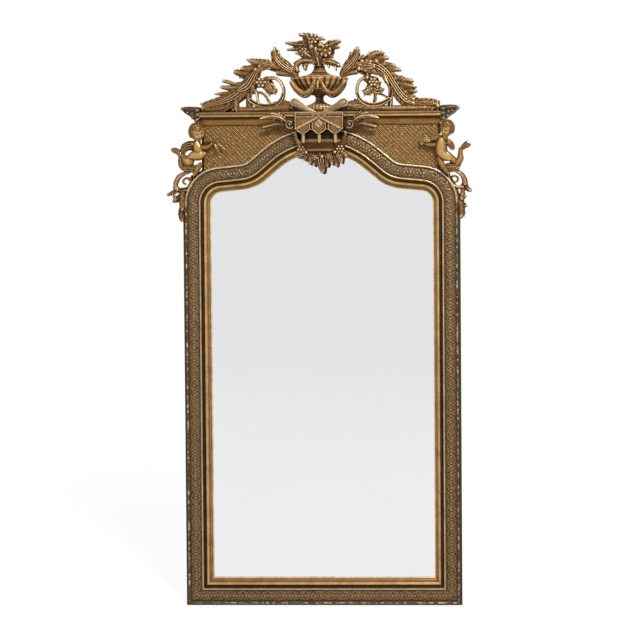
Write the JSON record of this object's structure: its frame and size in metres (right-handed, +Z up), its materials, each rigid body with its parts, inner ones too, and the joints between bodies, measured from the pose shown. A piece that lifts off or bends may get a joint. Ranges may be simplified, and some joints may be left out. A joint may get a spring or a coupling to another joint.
{
  "type": "floor mirror",
  "caption": "Tall gilt floor mirror with an arched glass, moulded frame, straight cornice, carved figures and a pierced crest with an urn of flowers.",
  "frame": {"origin": "on the floor, below the middle of the frame and of its carcass face line, under the foot of the bottom rail", "axes": "+Z up, +X to the right as one faces the glass, -Y out of the front of the mirror"},
  "size_m": [1.279, 0.146, 2.3946],
  "materials": {
    "backboard_pine": "old raw pine",
    "band_composition": "gilt composition ornament, dark patina",
    "bracket_iron": "wrought iron, blackened",
    "carving_gilding": "gilt carved wood, dark patina",
    "cornice_gilding": "gilt moulding, satin",
    "figure_gilding": "burnished gilt carved wood",
    "gilt_carcass": "gilt pine, worn to a dark brown",
    "hanger_brass": "aged brass",
    "ring_steel": "dull steel",
    "screw_steel": "dull steel",
    "sight_gilding": "water-gilt moulding, satin",
    "silvered_glass": "silvered plate glass",
    "softwood_blocks": "raw softwood",
    "spandrel_composition": "gilt composition lattice, dark patina",
    "urn_gilding": "gilt carved wood, dark patina"
  },
  "bodies": {
    "frame": {"apron": "carving_gilding", "apron_drops": "carving_gilding", "arm_left": "carving_gilding", "arm_right": "carving_gilding", "arrows": "carving_gilding", "back_battens": "backboard_pine", "backboard_lower": "backboard_pine", "backboard_middle": "backboard_pine", "backboard_upper": "backboard_pine", "band_bottom": "band_composition", "band_head_left": "band_composition", "band_head_right": "band_composition", "band_left": "band_composition", "band_right": "band_composition", "bottom_rail": "gilt_carcass", "bouquet": "carving_gilding", "cartouche_block": "carving_gilding", "corner_cup_left": "cornice_gilding", "corner_cup_right": "cornice_gilding", "cornice_left": "cornice_gilding", "cornice_right": "cornice_gilding", "crest_brackets": "bracket_iron", "crest_left": "carving_gilding", "crest_right": "carving_gilding", "drum": "carving_gilding", "figure_left": "figure_gilding", "figure_right": "figure_gilding", "glass_wedges": "softwood_blocks", "hanger_plates": "hanger_brass", "head_left": "gilt_carcass", "head_right": "gilt_carcass", "knot_rosettes": "carving_gilding", "left_stile": "gilt_carcass", "mirror_glass": "silvered_glass", "right_stile": "gilt_carcass", "side_scroll_left": "carving_gilding", "side_scroll_right": "carving_gilding", "sight_bottom": "sight_gilding", "sight_head_left": "sight_gilding", "sight_head_right": "sight_gilding", "sight_left": "sight_gilding", "sight_right": "sight_gilding", "spandrel_left": "spandrel_composition", "spandrel_right": "spandrel_composition", "torch_left": "carving_gilding", "torch_right": "carving_gilding", "urn_bowl": "urn_gilding", "urn_foot": "urn_gilding", "urn_neck": "urn_gilding", "urn_swags": "urn_gilding", "volute_left": "carving_gilding", "volute_right": "carving_gilding", "wood_screws": "screw_steel", "wreath": "carving_gilding"},
    "left_hanging_ring": {"ring_left": "ring_steel"},
    "right_hanging_ring": {"ring_right": "ring_steel"}
  },
  "joints": [
    {"name": "left_ring_swing", "type": "hinge", "parent": "frame", "child": "left_hanging_ring", "pos_m": [-0.53, 0.057, 1.61], "axis": [1, 0, 0], "range_deg": [0, 170]},
    {"name": "right_ring_swing", "type": "hinge", "parent": "frame", "child": "right_hanging_ring", "pos_m": [0.53, 0.057, 1.61], "axis": [1, 0, 0], "range_deg": [0, 170]}
  ]
}
